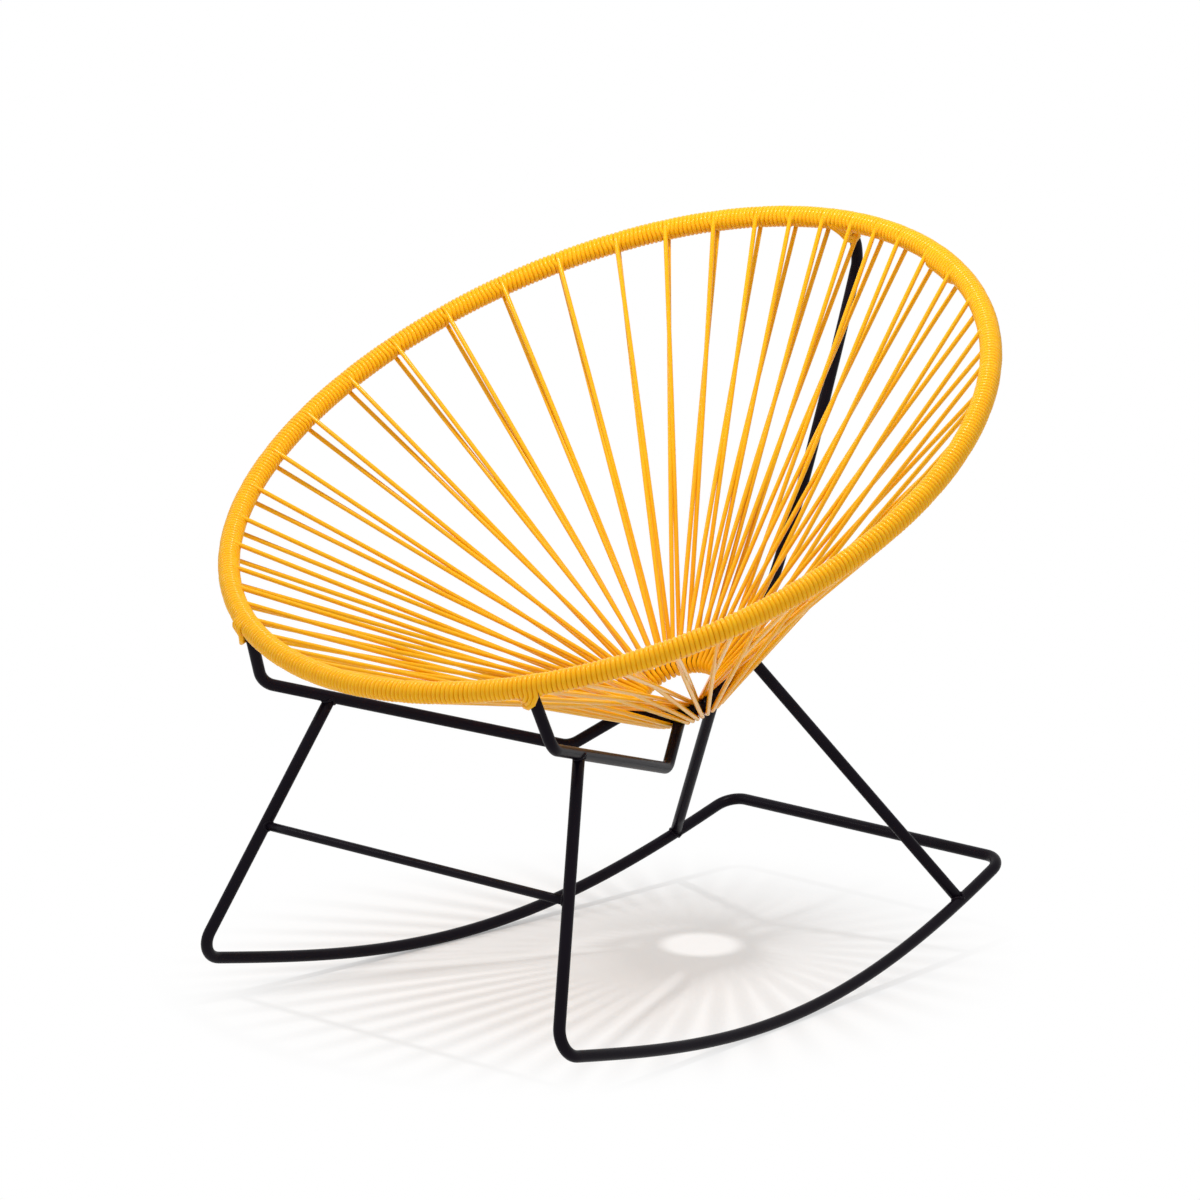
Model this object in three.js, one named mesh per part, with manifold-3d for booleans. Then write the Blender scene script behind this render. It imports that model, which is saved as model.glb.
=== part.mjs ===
// Round rocking lounge chair: bent steel tube frame, seat laced with one plastic cord.
// Millimetres, +Z up. The sitter faces -Y, and +X is on the sitter's left.
// Heights are taken from the floor, and depths from the middle of the rim hoop.
import * as THREE from 'three';
import { mergeVertices } from 'three/addons/utils/BufferGeometryUtils.js';
import Module from 'manifold-3d';

const wasm = await Module();
wasm.setup();

// Stock
const tubeDiameter = 12.7;
const stretcherDiameter = 9.5;
const cordDiameter = 4.75;
const seatGap = 0.3;
const loopGap = 0.45;
const bendRadius = 25;
const copeShare = 0.6;

// Rim hoop: a round hoop, a little oval and bent a little like a saddle
const rimRadius = 418.2;
const rimHeight = 585.3;
const rimTilt = 27.06;
const rimOvalShares = [0.00433, 0.00093];
const rimSaddleShares = [0.00968, 0.00215];

// Seat ring at the bottom of the bowl
const ringRadius = 48.5;
const ringHeight = 302.3;
const ringSetback = 117.5;
const ringTilt = 27;

// Seat bars, left one; the right one mirrors it
const seatBarRimAngle = 151.5;
const seatBarRingAngle = 140;
const seatBarNeck = { halfWidth: 207.6, reach: 303, height: 351.2 };
const seatBarKnee = { halfWidth: 70.3, setback: 19.4, height: 246.9 };

// Back bar: places from the seat ring (0, 0) to the head behind and under the rim hoop (1, 1)
const backBarHeadAngle = -43;
const backBarShares = [
  [0.211, 0.032], [0.446, 0.139], [0.603, 0.288], [0.709, 0.396],
  [1.083, 0.882], [1.098, 0.908], [1.081, 0.963],
];

// Base tube: front legs, runners and rear crossbar
const legRunShare = 0.22;
const frontFoot = { halfWidth: 260.1, reach: 353.1 };
const rearFootHalfWidth = 198.7;
const runnerLength = 778.3;
const runnerBow = 6.3;
const runnerRiseShares = [0.0608, 0.0158, 0.0006, 0.0329, 0.1077];
const footFlat = 46;
const standShare = 0.494;
const stretcherShare = 0.49;

// Rear struts, from the runners to the flanks of the back bar's low bend
const strutFootShare = 0.892;
const strutFlankShares = { side: 0.565, back: -0.113, up: -0.138 };
const strutOverrun = 2;

// Cord. Each pair of strands leaves the rim at one of these angles from the back,
// in degrees. Its loop round the seat ring is turned back by ringTwistAngle,
// and the loops stand closer at the front by ringCrowdAngle.
const cordAnglesRight = [
  2.2, 8.2, 14.4, 21.6, 29.6, 37.6, 47, 56.4, 66.2, 75.9, 85.5, 95.4,
  105.1, 114.1, 122.1, 129.2, 135.9, 142, 146.9, 152.8, 158.8, 165, 171.2, 177,
];
const cordAnglesLeft = [
  3.5, 8.7, 14.3, 21.7, 29.5, 38.6, 47.9, 57.6, 67.9, 77.2, 86.6, 96,
  105.6, 114.8, 123.2, 130.9, 138.3, 143.8, 148.7, 154.2, 160, 165.6, 171.5, 177.2,
];
const pairsPerSpan = 4;
const ringTwistAngle = 6.5;
const ringCrowdAngle = 5.5;
const rimStrandOffset = 3.9;
const ringStrandOffset = 2;
const rootShare = 0.88;
const wrapSwell = 0.5;

// Swellings of the wrap: over the ends of the bars, where its turns crowd to one side,
// and where the cord ends. Their half sizes run along the rim, away from it and across it.
const frontKnot = { along: 17, away: 17, across: 12.5, drop: 6, shift: 8 };
const backKnot = { along: 18, away: 25, across: 14, drop: 14, shift: -4 };
const finishKnot = { along: 24, away: 13, across: 10.5, drop: 3.5, shift: 0 };
const finishAngle = 24;
const finishTurnAngle = 45;

// Facets
const tubeSides = 10;
const hiddenSides = 8;
const cordSides = 6;
const rimStations = 54;
const ringStations = 36;
const bendSteps = 5;
const loopSteps = 5;
const backBarSteps = 24;
const runnerSteps = 8;

const tubeRadius = tubeDiameter / 2;
const cordRadius = cordDiameter / 2;
const wrapRadius = tubeRadius + cordDiameter;
const rad = THREE.MathUtils.degToRad;
const vec = (x, y, z) => new THREE.Vector3(x, y, z);
const mirrored = (points) => points.map((p) => vec(-p.x, p.y, p.z));
const lerp = (a, b, share) => a.clone().lerp(b, share);

// Steel painted black, cord in two shades of yellow
const steel = new THREE.MeshStandardMaterial({ color: 0x17171a, roughness: 0.35, metalness: 0.6 });
const cord = new THREE.MeshStandardMaterial({ color: 0xf7b114, roughness: 0.45, metalness: 0 });

// Rim hoop centre line at an angle from the back, turning toward the sitter's left
const rimAxes = {
  side: vec(1, 0, 0),
  back: vec(0, Math.cos(rad(rimTilt)), Math.sin(rad(rimTilt))),
  up: vec(0, -Math.sin(rad(rimTilt)), Math.cos(rad(rimTilt))),
};
function rimPoint(angle) {
  const [oval2, oval3] = rimOvalShares;
  const [saddle2, saddle3] = rimSaddleShares;
  const wave2 = Math.cos(2 * angle);
  const wave3 = Math.cos(3 * angle);
  const out = rimRadius * (1 + oval2 * wave2 + oval3 * wave3);
  const lift = rimRadius * (saddle2 * wave2 + saddle3 * wave3);
  return vec(0, 0, rimHeight)
    .addScaledVector(rimAxes.side, out * Math.sin(angle))
    .addScaledVector(rimAxes.back, out * Math.cos(angle))
    .addScaledVector(rimAxes.up, lift);
}

// Seat ring centre line, by the same rule
const ringAxes = {
  side: vec(1, 0, 0),
  back: vec(0, Math.cos(rad(ringTilt)), Math.sin(rad(ringTilt))),
  up: vec(0, -Math.sin(rad(ringTilt)), Math.cos(rad(ringTilt))),
};
const ringCentre = vec(0, ringSetback, ringHeight);
function ringPoint(angle) {
  return ringCentre.clone()
    .addScaledVector(ringAxes.side, ringRadius * Math.sin(angle))
    .addScaledVector(ringAxes.back, ringRadius * Math.cos(angle));
}

// Tangent of a closed centre line
function heading(place, angle) {
  const step = 0.001;
  return place(angle + step).sub(place(angle - step)).normalize();
}

// Tube swept along points. Its rings keep one flat turned to the direction "toward",
// and its end rings stand square to the directions in "ends", where they are given.
function sweep(points, radii, toward, sides, closed, ends = []) {
  const count = points.length;
  const positions = [];
  const index = [];
  points.forEach((point, i) => {
    const before = closed ? points[(i + count - 1) % count] : points[Math.max(i - 1, 0)];
    const after = closed ? points[(i + 1) % count] : points[Math.min(i + 1, count - 1)];
    const ahead = after.clone().sub(point);
    const behind = point.clone().sub(before);
    const atEnd = [i === 0, i === count - 1].indexOf(true);
    const along = ends[atEnd] ?? ahead.normalize().add(behind.normalize()).normalize();
    const first = toward.clone().addScaledVector(along, -toward.dot(along)).normalize();
    const second = along.clone().cross(first);
    const radius = Array.isArray(radii) ? radii[i] : radii;
    for (let k = 0; k < sides; k += 1) {
      const turn = (2 * Math.PI * (k + 0.5)) / sides;
      const corner = point.clone()
        .addScaledVector(first, radius * Math.cos(turn))
        .addScaledVector(second, radius * Math.sin(turn));
      positions.push(corner.x, corner.y, corner.z);
    }
  });
  const strips = closed ? count : count - 1;
  for (let i = 0; i < strips; i += 1) {
    const near = i * sides;
    const far = ((i + 1) % count) * sides;
    for (let k = 0; k < sides; k += 1) {
      const next = (k + 1) % sides;
      index.push(near + k, near + next, far + next, near + k, far + next, far + k);
    }
  }
  if (!closed) {
    const last = (count - 1) * sides;
    for (let k = 1; k < sides - 1; k += 1) {
      index.push(0, k + 1, k);
      index.push(last, last + k, last + k + 1);
    }
  }
  const geometry = new THREE.BufferGeometry();
  geometry.setAttribute('position', new THREE.Float32BufferAttribute(positions, 3));
  geometry.setIndex(index);
  return geometry;
}

// Centre line through corners, each sharp corner rounded to the bend radius
function bent(corners) {
  const points = [corners[0]];
  for (let i = 1; i < corners.length - 1; i += 1) {
    const corner = corners[i];
    const back = corners[i - 1].clone().sub(corner).normalize();
    const ahead = corners[i + 1].clone().sub(corner).normalize();
    const turn = Math.PI - back.angleTo(ahead);
    if (turn < rad(12)) {
      points.push(corner);
      continue;
    }
    const reach = bendRadius * Math.tan(turn / 2);
    const middle = back.clone().add(ahead).normalize();
    const centre = corner.clone().addScaledVector(middle, bendRadius / Math.cos(turn / 2));
    const from = corner.clone().addScaledVector(back, reach).sub(centre);
    const axis = from.clone().cross(corner.clone().addScaledVector(ahead, reach).sub(centre)).normalize();
    for (let k = 0; k <= bendSteps; k += 1) {
      points.push(from.clone().applyAxisAngle(axis, (turn * k) / bendSteps).add(centre));
    }
  }
  points.push(corners[corners.length - 1]);
  return points;
}

// Solids for joining and cutting
function solid(geometry) {
  const bare = geometry.clone();
  bare.deleteAttribute('normal');
  bare.deleteAttribute('uv');
  const merged = mergeVertices(bare);
  return new wasm.Manifold(new wasm.Mesh({
    numProp: 3,
    vertProperties: Float32Array.from(merged.attributes.position.array),
    triVerts: Uint32Array.from(merged.index.array),
  }));
}
function geometryOf(body) {
  const mesh = body.getMesh();
  const geometry = new THREE.BufferGeometry();
  geometry.setAttribute('position', new THREE.BufferAttribute(Float32Array.from(mesh.vertProperties), 3));
  geometry.setIndex(new THREE.BufferAttribute(Uint32Array.from(mesh.triVerts), 1));
  geometry.computeVertexNormals();
  return geometry;
}
const cut = (body, ...tools) => tools.reduce((rest, tool) => rest.subtract(tool), body);

// Start of a coped end: a little short of the neighbour's centre line, and shorter where
// the neighbour runs along "beside" and is met at a slant
const coped = (end, from, beside = null) => {
  const line = from.clone().sub(end);
  const slant = beside === null ? 1 : Math.sin(line.angleTo(beside));
  const reach = (tubeRadius * copeShare) / slant / line.length();
  return lerp(end, from, reach);
};

// A frame tube keeps its centre line, so that its neighbours are coped to it
class Tube {
  constructor(points, { toward = vec(1, 0, 0), radius = tubeRadius, sides = tubeSides, closed = false } = {}) {
    Object.assign(this, { points, toward, radius, sides, closed });
  }

  grown(extra) {
    const { points, closed } = this;
    const last = points.length - 1;
    const past = (end, next) => end.clone().add(end.clone().sub(next).setLength(extra));
    const path = closed || extra === 0
      ? points
      : [past(points[0], points[1]), ...points.slice(1, last), past(points[last], points[last - 1])];
    return solid(sweep(path, this.radius + extra, this.toward, this.sides, closed));
  }

  get body() {
    return this.grown(0);
  }

  get seat() {
    return this.grown(seatGap);
  }
}

const evenly = (count) => Array.from({ length: count }, (_, i) => (2 * Math.PI * i) / count);
const rimHoop = new Tube(
  evenly(rimStations).map(rimPoint),
  { toward: rimAxes.up, sides: hiddenSides, closed: true },
);
const seatRing = new Tube(evenly(ringStations).map(ringPoint), { toward: ringAxes.up, closed: true });

// Seat bars
const neck = vec(seatBarNeck.halfWidth, -seatBarNeck.reach, seatBarNeck.height);
const knee = vec(seatBarKnee.halfWidth, seatBarKnee.setback, seatBarKnee.height);
const seatBarPath = bent([
  coped(rimPoint(rad(seatBarRimAngle)), neck), neck, knee, coped(ringPoint(rad(seatBarRingAngle)), knee),
]);
const seatBarLeft = new Tube(seatBarPath);
const seatBarRight = new Tube(mirrored(seatBarPath));

// Back bar: its head lies against the back of the rim hoop
const backHead = rimPoint(0).add(vec(0, Math.cos(rad(backBarHeadAngle)), Math.sin(rad(backBarHeadAngle)))
  .multiplyScalar(tubeDiameter + seatGap));
const backFoot = ringPoint(0);
const backPlace = ([back, up]) => vec(
  0,
  backFoot.y + back * (backHead.y - backFoot.y),
  backFoot.z + up * (backHead.z - backFoot.z),
);
const backStart = coped(backFoot, backPlace(backBarShares[0]));
const backCurve = new THREE.CatmullRomCurve3([backStart, ...backBarShares.map(backPlace), backHead]);
const backBar = new Tube(backCurve.getSpacedPoints(backBarSteps));

// Runner: a smooth rise through five places, with a short flat under the centre of mass,
// where the chair stands
function rise(t) {
  const last = runnerRiseShares.length - 1;
  return runnerRiseShares.reduce((sum, share, i) => sum + share
    * runnerRiseShares.reduce((product, _, k) => (k === i ? product : product * ((t * last - k) / (i - k))), 1), 0);
}
let lowest = 0;
for (let t = 0; t <= 1; t += 0.001) {
  if (rise(t) < rise(lowest)) lowest = t;
}
const footHeight = tubeRadius * Math.cos(Math.PI / tubeSides);
const flatShare = footFlat / 2 / runnerLength;
const flatFrom = standShare - flatShare;
const flatTo = standShare + flatShare;
function runnerPoint(t) {
  const onFlat = t >= flatFrom && t <= flatTo;
  return vec(
    frontFoot.halfWidth + (rearFootHalfWidth - frontFoot.halfWidth) * t + runnerBow * 4 * t * (1 - t),
    -frontFoot.reach + runnerLength * t,
    footHeight + (onFlat ? 0 : runnerLength * (rise(t) - rise(lowest))),
  );
}
const runnerPlaces = [];
for (let i = 1; i <= runnerSteps; i += 1) {
  runnerPlaces.push((flatFrom * i) / (runnerSteps + 1));
}
runnerPlaces.push(flatFrom, flatTo);
for (let i = 1; i <= runnerSteps; i += 1) {
  runnerPlaces.push(flatTo + ((1 - flatTo) * i) / (runnerSteps + 1));
}

// The base tube runs from one leg over the runners and the crossbar to the other leg.
// It is cut where its bends end.
const frontCorner = runnerPoint(0);
const legJoint = lerp(neck, knee, legRunShare);
const legTop = coped(legJoint, frontCorner, knee.clone().sub(neck));
const rearCorner = runnerPoint(1);
const rearMiddle = vec(0, rearCorner.y, rearCorner.z);
const basePath = bent([legTop, frontCorner, ...runnerPlaces.map(runnerPoint), rearCorner, rearMiddle]);
const legEnd = basePath[1];
const crossEnd = basePath[basePath.length - 2];
const up = vec(0, 0, 1);
const legLeft = new Tube([legTop, legEnd], { toward: up });
const legRight = new Tube(mirrored(legLeft.points), { toward: up });
const runnerLeft = new Tube(basePath.slice(1, -1), { toward: up });
const runnerRight = new Tube(mirrored(runnerLeft.points), { toward: up });
const crossbar = new Tube([crossEnd, ...mirrored([crossEnd])], { toward: up });

// Stretcher between the front legs
const stretcherJoint = lerp(legJoint, frontCorner, stretcherShare);
const stretcherEnd = coped(stretcherJoint, vec(0, stretcherJoint.y, stretcherJoint.z));
const stretcher = new Tube(
  [stretcherEnd, ...mirrored([stretcherEnd])],
  { toward: up, radius: stretcherDiameter / 2 },
);

// Rear struts
const strutFoot = runnerPoint(strutFootShare);
const strutLanding = backPlace(backBarShares[0]).add(vec(
  tubeDiameter * strutFlankShares.side,
  tubeDiameter * strutFlankShares.back,
  tubeDiameter * strutFlankShares.up,
));
const strutLine = strutLanding.clone().sub(strutFoot).normalize();
const strutTop = strutLanding.clone().addScaledVector(strutLine, strutOverrun);
const strutLeft = new Tube([coped(strutFoot, strutTop), strutTop]);
const strutRight = new Tube(mirrored(strutLeft.points));

// Places of the cord: one entry for each pair of strands, in order round the rim
const pairStep = 360 / (cordAnglesRight.length + cordAnglesLeft.length);
const ringAngle = (turn) => {
  const even = pairStep * turn - ringTwistAngle;
  return rad((even + ringCrowdAngle * Math.sin(rad(even)) + 360) % 360);
};
const pairs = [
  ...cordAnglesLeft.map((angle, i) => ({ rim: rad(angle), ring: ringAngle(i + 0.5) })),
  ...cordAnglesRight.map((angle, i) => ({ rim: rad(360 - angle), ring: ringAngle(-i - 0.5) })).reverse(),
];

// Strands that pass under the ring part round the ends of the bars
const loopRadius = (tubeRadius + loopGap + cordRadius) / Math.cos(Math.PI / (2 * loopSteps));
const underReach = ringRadius + loopRadius / 2;
function barAngle(from, angle) {
  const end = ringPoint(angle);
  const line = from.clone().sub(end).setLength(loopRadius);
  const place = end.add(line).sub(ringCentre);
  return Math.atan2(place.dot(ringAxes.side), place.dot(ringAxes.back));
}
const leftBar = barAngle(knee, rad(seatBarRingAngle));
const barAngles = [0, leftBar, 2 * Math.PI - leftBar, 2 * Math.PI];
const barHalf = (tubeRadius + cordRadius + 2 * seatGap) / underReach;
const loopPitch = (cordDiameter + seatGap) / underReach;
pairs.forEach((pair) => {
  pair.under = pair.ring;
});
barAngles.forEach((bar) => {
  const after = pairs.filter((pair) => pair.ring >= bar).sort((a, b) => a.ring - b.ring);
  const before = pairs.filter((pair) => pair.ring < bar).sort((a, b) => b.ring - a.ring);
  after.forEach((pair, i) => {
    pair.under = Math.max(pair.under, bar + barHalf + i * loopPitch);
  });
  before.forEach((pair, i) => {
    pair.under = Math.min(pair.under, bar - barHalf - i * loopPitch);
  });
});

// Where a strand touches the loop circle round the ring tube: seen along the ring
function touch(from, angle, offset, side) {
  const along = heading(ringPoint, angle);
  const hub = ringPoint(angle).addScaledVector(along, offset);
  const line = hub.clone().sub(from);
  line.addScaledVector(along, -line.dot(along)).normalize();
  const out = along.clone().cross(line).normalize();
  if (out.dot(ringAxes.up) * side < 0) out.negate();
  return { hub, along, out };
}

// A strand narrows where it starts inside the wrap
const rootRadius = cordRadius * rootShare;

// One pair of strands: over the rim, under the ring, round it inside, back under the rim
function pairPath(pair) {
  const rimAt = rimPoint(pair.rim);
  const rimAlong = heading(rimPoint, pair.rim);
  const toRing = ringPoint(pair.ring).sub(rimAt).normalize();
  const rimOut = toRing.clone().cross(rimAlong).normalize();
  if (rimOut.dot(rimAxes.up) < 0) rimOut.negate();
  const shell = (tubeRadius + seatGap + wrapRadius) / 2;
  const upper = rimAt.clone().addScaledVector(rimOut, shell).addScaledVector(rimAlong, rimStrandOffset);
  const lower = rimAt.clone().addScaledVector(rimOut, -shell).addScaledVector(rimAlong, -rimStrandOffset);
  const under = touch(upper, pair.under, ringStrandOffset, -1);
  const over = touch(lower, pair.ring, -ringStrandOffset, 1);
  const along = under.along.clone().add(over.along).normalize();
  const inward = ringCentre.clone().sub(ringPoint(pair.ring)).normalize();
  let turn = under.out.angleTo(over.out);
  const axis = along.clone();
  if (under.out.clone().applyAxisAngle(axis, turn / 2).dot(inward) < 0) axis.negate();
  const sweepCheck = under.out.clone().applyAxisAngle(axis, turn).dot(over.out);
  if (sweepCheck < 0.9) turn = 2 * Math.PI - turn;
  const points = [upper];
  for (let i = 0; i <= loopSteps; i += 1) {
    const share = i / loopSteps;
    const ease = Math.min(share * 2, 1);
    const out = under.out.clone().applyAxisAngle(axis, turn * share);
    const angle = pair.under + (pair.ring - pair.under) * ease;
    const hub = ringPoint(angle)
      .addScaledVector(heading(ringPoint, angle), ringStrandOffset * (1 - 2 * share));
    points.push(hub.addScaledVector(out, loopRadius));
  }
  points.push(lower);
  const radii = points.map((_, i) => (i === 0 || i === points.length - 1 ? rootRadius : cordRadius));
  return { points, radii, along };
}

// Swelling of the wrap at an angle of the rim, to the side "toward"
function wrapKnot(angle, size, toward) {
  const place = angle + size.shift / rimRadius;
  const along = heading(rimPoint, place);
  const out = toward.clone().addScaledVector(along, -toward.dot(along)).normalize();
  const basis = new THREE.Matrix4().makeBasis(along, out.clone().cross(along), out);
  const knot = new THREE.SphereGeometry(size.along, tubeSides, tubeSides / 2);
  knot.scale(size.along / size.along, size.across / size.along, size.away / size.along);
  knot.applyMatrix4(basis);
  const centre = rimPoint(place).addScaledVector(out, size.drop);
  knot.translate(centre.x, centre.y, centre.z);
  return { angle: place, body: solid(knot) };
}
const rimSeat = rimHoop.seat;
const barSeats = [seatBarLeft.seat, seatBarRight.seat, backBar.seat];
const seatBarHead = seatBarPath[1].clone().sub(seatBarPath[0]).normalize();
const seatBarHeadRight = vec(-seatBarHead.x, seatBarHead.y, seatBarHead.z);
const backHeadLine = backHead.clone().sub(rimPoint(0)).normalize();
const finishInward = rimPoint(rad(finishAngle + 180)).sub(rimPoint(rad(finishAngle))).normalize();
const finishAlong = heading(rimPoint, rad(finishAngle));
const finishTurn = rad(finishTurnAngle) * Math.sign(finishInward.clone().cross(finishAlong).dot(rimAxes.up));
const finishLine = finishInward.applyAxisAngle(finishAlong, finishTurn);
const knots = [
  wrapKnot(rad(seatBarRimAngle), frontKnot, seatBarHead),
  wrapKnot(rad(360 - seatBarRimAngle), frontKnot, seatBarHeadRight),
  wrapKnot(0, backKnot, backHeadLine),
  wrapKnot(rad(finishAngle), finishKnot, finishLine),
];

const pairCount = pairs.length;
const rimOf = (i) => pairs[((i % pairCount) + pairCount) % pairCount].rim
  + 2 * Math.PI * Math.floor(i / pairCount);
const middleOf = (i) => (rimOf(i) + rimOf(i + 1)) / 2;
const loopPaths = pairs.map(pairPath);

// Wrap and strands of one span of the rim, fused into one body
function span(first) {
  const halfGap = seatGap / 2 / rimRadius;
  const stations = [{ angle: middleOf(first - 1) + halfGap, swell: wrapSwell }];
  for (let i = first; i < first + pairsPerSpan; i += 1) {
    stations.push({ angle: rimOf(i), swell: 0 });
    if (i < first + pairsPerSpan - 1) stations.push({ angle: middleOf(i), swell: wrapSwell });
  }
  stations.push({ angle: middleOf(first + pairsPerSpan - 1) - halfGap, swell: wrapSwell });
  const radii = stations.map((station) => wrapRadius + station.swell);
  const start = stations[0].angle;
  const end = stations[stations.length - 1].angle;
  const ends = [heading(rimPoint, start), heading(rimPoint, end)];
  let body = solid(sweep(stations.map((s) => rimPoint(s.angle)), radii, rimAxes.up, tubeSides, false, ends));
  for (let i = first; i < first + pairsPerSpan; i += 1) {
    const path = loopPaths[((i % pairCount) + pairCount) % pairCount];
    body = body.add(solid(sweep(path.points, path.radii, path.along, cordSides, false)));
  }
  knots.forEach((knot) => {
    const laps = [knot.angle - 2 * Math.PI, knot.angle, knot.angle + 2 * Math.PI];
    const inside = laps.some((angle) => angle > start && angle < end);
    if (inside) body = body.add(knot.body);
  });
  return cut(body, rimSeat, ...barSeats);
}

// Least gap between neighbouring loops on the seat ring, measured on their points
let leastGap = Infinity;
loopPaths.forEach((path, i) => {
  const other = loopPaths[(i + 1) % pairCount].points;
  path.points.slice(1, -1).forEach((point) => {
    for (let k = 1; k < other.length - 2; k += 1) {
      const near = new THREE.Line3(other[k], other[k + 1]).closestPointToPoint(point, true, vec(0, 0, 0));
      leastGap = Math.min(leastGap, near.distanceTo(point) - cordDiameter * Math.cos(Math.PI / cordSides));
    }
  });
});
console.log(`Least gap between cord loops on the seat ring: ${leastGap.toFixed(2)} mm`);

// The chair
const chair = new THREE.Group();
function place(name, body, material) {
  const mesh = new THREE.Mesh(geometryOf(body), material);
  mesh.name = name;
  chair.add(mesh);
}
place('rim_hoop', rimHoop.body, steel);
place('seat_ring', seatRing.body, steel);
place('seat_bar_left', cut(seatBarLeft.body, rimSeat, seatRing.seat), steel);
place('seat_bar_right', cut(seatBarRight.body, rimSeat, seatRing.seat), steel);
place('back_bar', cut(backBar.body, rimSeat, seatRing.seat), steel);
place('rear_strut_left', cut(strutLeft.body, backBar.seat, runnerLeft.seat), steel);
place('rear_strut_right', cut(strutRight.body, backBar.seat, runnerRight.seat), steel);
place('front_leg_left', cut(legLeft.body, seatBarLeft.seat, runnerLeft.seat), steel);
place('front_leg_right', cut(legRight.body, seatBarRight.seat, runnerRight.seat), steel);
place('runner_left', runnerLeft.body, steel);
place('runner_right', runnerRight.body, steel);
place('rear_crossbar', cut(crossbar.body, runnerLeft.seat, runnerRight.seat), steel);
place('front_stretcher', cut(stretcher.body, legLeft.seat, legRight.seat), steel);

// The spans start two pairs before the back, so that the back bar's head is in mid span
const spanCount = pairCount / pairsPerSpan;
for (let i = 0; i < spanCount; i += 1) {
  const name = `cord_span_${String(i + 1).padStart(2, '0')}`;
  place(name, span(i * pairsPerSpan - pairsPerSpan / 2), cord);
}

// The origin is on the floor, under the middle of the chair's overall box
const box = new THREE.Box3().setFromObject(chair);
chair.position.set(0, -(box.min.y + box.max.y) / 2, -box.min.z);

export default chair;
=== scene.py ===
"""Round rocking lounge chair, dressed for the studio.

A frame of bent steel tube, painted black, carries a bowl laced from one long yellow cord.
The sizes of the chair are millimetres, and become metres where a mesh is made.
Angles round the rim and the seat ring count from the back toward the sitter's left.
"""
import logging
import math
from dataclasses import dataclass, field
from enum import Enum
from typing import Any, Iterator, Sequence

import bpy
import numpy as np
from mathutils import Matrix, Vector


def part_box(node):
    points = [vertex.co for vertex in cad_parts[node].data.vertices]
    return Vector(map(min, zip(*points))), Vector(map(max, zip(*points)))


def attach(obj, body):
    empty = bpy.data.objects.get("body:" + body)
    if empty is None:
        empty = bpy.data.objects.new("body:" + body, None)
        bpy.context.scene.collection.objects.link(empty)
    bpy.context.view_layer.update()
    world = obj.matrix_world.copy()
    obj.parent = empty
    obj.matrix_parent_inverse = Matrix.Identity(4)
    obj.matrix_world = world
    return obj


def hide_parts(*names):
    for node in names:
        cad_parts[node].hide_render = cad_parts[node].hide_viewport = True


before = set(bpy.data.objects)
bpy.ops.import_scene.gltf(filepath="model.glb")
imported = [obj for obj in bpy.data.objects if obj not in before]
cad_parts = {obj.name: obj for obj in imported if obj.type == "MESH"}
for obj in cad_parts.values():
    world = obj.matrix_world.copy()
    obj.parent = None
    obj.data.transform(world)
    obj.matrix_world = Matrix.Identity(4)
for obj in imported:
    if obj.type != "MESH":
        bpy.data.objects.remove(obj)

log = logging.getLogger("lounge_chair")
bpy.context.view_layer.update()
ROOT_BODY = "root"
MILLIMETRE = 0.001
FULL_TURN = 2 * math.pi
TUBE_RADIUS = 6.35
# How far behind the drawing's origin the middle of the rear crossbar stands
CROSSBAR_BACK = 425.2
SIDE = np.array([1.0, 0.0, 0.0])
BACK = np.array([0.0, 1.0, 0.0])
UP = np.array([0.0, 0.0, 1.0])
# From this share of a direction on, another is too close to it to be squared to it
NEARLY_ALONG = 0.9
# A centre line that turns less than this keeps its corner
SLIGHT_TURN = math.radians(12)
Rows = np.ndarray
Couple = tuple[float, float]
Triple = tuple[float, float, float]
Window = tuple[float, float, float, float]


class Slot(Enum):
    """The finishes that the chair is made in."""

    STEEL = "black_steel"
    CORD = "yellow_cord"


# Small sums on rows of points

def unit(rows: Rows) -> Rows:
    """Each row brought to length one."""
    return rows / np.linalg.norm(rows, axis=-1, keepdims=True)


def dot(first: Rows, second: Rows) -> Rows:
    """The row by row product, kept as a column."""
    return np.sum(first * second, axis=-1, keepdims=True)


def square_to(rows: Rows, along: Rows) -> Rows:
    """What is left of each row across a unit direction, at length one."""
    return unit(rows - dot(rows, along) * along)


def turned(row: Rows, axis: Rows, angle: Rows | float) -> Rows:
    """Turns a direction about a unit axis.

    Args:
        row: the direction.
        axis: the unit axis.
        angle: one angle or several, in radians.

    Returns:
        One row for each angle.
    """
    spin = np.asarray(angle, dtype=float)[..., None]
    return (
        row * np.cos(spin)
        + np.cross(axis, row) * np.sin(spin)
        + axis * dot(axis, row) * (1 - np.cos(spin))
    )


def smooth_step(value: Rows | float) -> Rows:
    """An ease from 0 to 1 that starts and ends level."""
    share = np.clip(value, 0.0, 1.0)
    return share * share * (3 - 2 * share)


def bump_between(value: Rows, start: float, top_from: float, top_to: float, end: float) -> Rows:
    """A soft hill: 0 before start, 1 between the tops, 0 after end.

    Args:
        value: where to read the hill.
        start: where it begins to rise.
        top_from: where it has risen.
        top_to: where it begins to fall.
        end: where it has fallen.

    Returns:
        The height of the hill at each value.
    """
    up = smooth_step((value - start) / (top_from - start))
    down = smooth_step((end - value) / (end - top_to))
    return up * down


# Centre lines

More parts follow.
